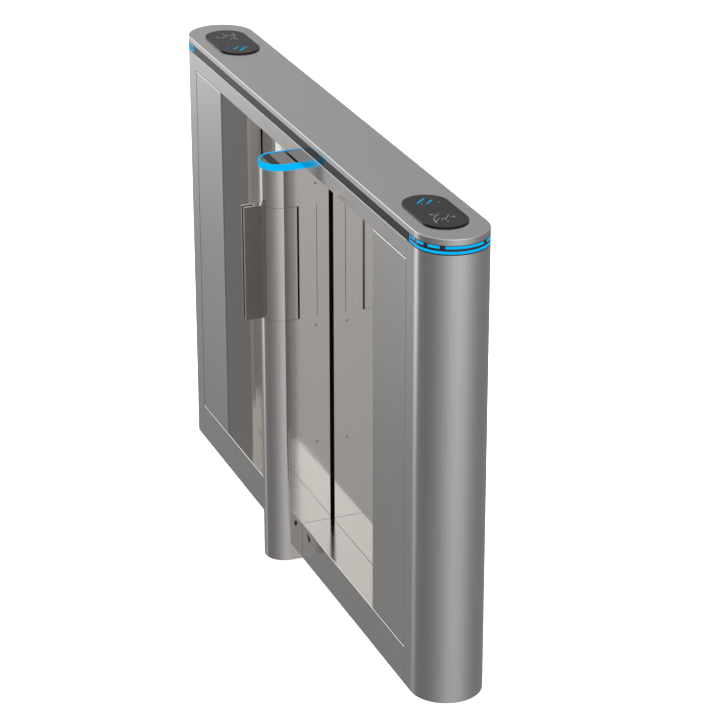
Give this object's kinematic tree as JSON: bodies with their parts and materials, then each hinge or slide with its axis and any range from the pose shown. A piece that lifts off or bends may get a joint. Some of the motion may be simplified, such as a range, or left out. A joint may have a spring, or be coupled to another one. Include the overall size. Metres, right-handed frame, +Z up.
{
  "type": "visitor counter turnstile",
  "caption": "Slim stainless swing-gate pedestal with a lit wing post, rotating wing clamp, round ends, mirror-backed recess and reader pads on a flat top.",
  "frame": {"origin": "centre of the cabinet footprint on the floor", "axes": "+Y along the cabinet, -X towards the passage and the wing post, +Z up"},
  "size_m": [0.263, 1.5, 1.003],
  "materials": {
    "outer_steel": "satin brushed stainless, fine vertical grain",
    "recess_steel": "fine brushed stainless",
    "mirror_steel": "mirror polished stainless",
    "cover_steel": "satin brushed stainless, grain along the cabinet",
    "post_steel": "polished stainless",
    "clamp_steel": "dark satin stainless",
    "frame_steel": "zinc primed steel",
    "tinted_glass": "dark tinted gloss glass",
    "black_gloss": "piano black acrylic",
    "blue_light": "lit blue diffuser",
    "reader_plastic": "dark grey acrylic",
    "black_plastic": "moulded black plastic",
    "board_green": "solder mask green",
    "supply_aluminium": "pressed aluminium",
    "shaft_steel": "ground steel",
    "screw_steel": "stainless screw",
    "motor_iron": "dark coated iron",
    "rubber": "black rubber"
  },
  "bodies": {
    "cabinet": {"base_frame": "frame_steel", "spine_feet": "frame_steel", "end_shell_near": "outer_steel", "end_shell_far": "outer_steel", "skirt_left_near": "outer_steel", "skirt_left_far": "outer_steel", "skirt_right": "outer_steel", "header_rail_left": "outer_steel", "header_rail_right": "outer_steel", "recess_nose_left_near": "recess_steel", "recess_nose_left_far": "recess_steel", "recess_nose_right_near": "recess_steel", "recess_nose_right_far": "recess_steel", "spine_panel": "mirror_steel", "header_beam": "frame_steel", "end_frame_near": "frame_steel", "end_frame_far": "frame_steel", "top_frame": "frame_steel", "glass_band_left": "tinted_glass", "glass_band_right": "tinted_glass", "light_band_near": "black_gloss", "light_band_far": "black_gloss", "light_lines_near": "blue_light", "light_lines_far": "blue_light", "infrared_sensors": "black_plastic", "controller_board": "board_green", "power_supply": "supply_aluminium", "speaker": "black_plastic", "post_housing": "post_steel", "post_base_plate": "frame_steel", "post_mount_channel": "frame_steel", "post_spacer": "black_plastic", "post_light_ring": "blue_light", "post_cap": "black_gloss", "post_screws": "screw_steel", "bearing_plates": "frame_steel", "shaft_bearings": "shaft_steel", "motor_stator": "motor_iron", "brake_coil": "motor_iron", "encoder_sensor": "black_plastic", "stop_bumpers": "rubber", "key_lock_body": "black_plastic"},
    "wing_drive": {"main_shaft": "shaft_steel", "motor_rotor": "motor_iron", "brake_disc": "shaft_steel", "encoder_disc": "shaft_steel", "collar": "post_steel", "collar_hubs": "frame_steel", "wing_clamp": "clamp_steel", "slot_gasket": "rubber", "clamp_screws": "screw_steel"},
    "top_lid": {"top_cover": "cover_steel", "reader_pad_near": "reader_plastic", "reader_pad_far": "reader_plastic", "reader_modules": "black_plastic"},
    "key_barrel": {"key_lock_barrel": "motor_iron"},
    "door_left_near_body": {"door_left_near": "outer_steel"},
    "door_left_far_body": {"door_left_far": "outer_steel"},
    "door_right_near_body": {"door_right_near": "outer_steel"},
    "door_right_far_body": {"door_right_far": "outer_steel"}
  },
  "joints": [
    {"name": "wing_swing", "type": "hinge", "parent": "cabinet", "child": "wing_drive", "pos_m": [-0.104, 0, 0.704], "axis": [0, 0, 1], "range_deg": [-90, 90]},
    {"name": "lid_lift", "type": "slide", "parent": "cabinet", "child": "top_lid", "axis": [0, 0, 1], "range_m": [0, 0.08]},
    {"name": "key_turn", "type": "hinge", "parent": "cabinet", "child": "key_barrel", "pos_m": [-0.0737, -0.087, 0.065], "axis": [1, 0, 0], "range_deg": [0, 90]},
    {"name": "door_left_near_hinge", "type": "hinge", "parent": "cabinet", "child": "door_left_near_body", "pos_m": [-0.073, -0.632, 0.508], "axis": [0, 0, 1], "range_deg": [0, 100]},
    {"name": "door_left_far_hinge", "type": "hinge", "parent": "cabinet", "child": "door_left_far_body", "pos_m": [-0.073, 0.632, 0.508], "axis": [0, 0, -1], "range_deg": [0, 100]},
    {"name": "door_right_near_hinge", "type": "hinge", "parent": "cabinet", "child": "door_right_near_body", "pos_m": [0.073, -0.632, 0.508], "axis": [0, 0, -1], "range_deg": [0, 100]},
    {"name": "door_right_far_hinge", "type": "hinge", "parent": "cabinet", "child": "door_right_far_body", "pos_m": [0.073, 0.632, 0.508], "axis": [0, 0, 1], "range_deg": [0, 100]}
  ]
}
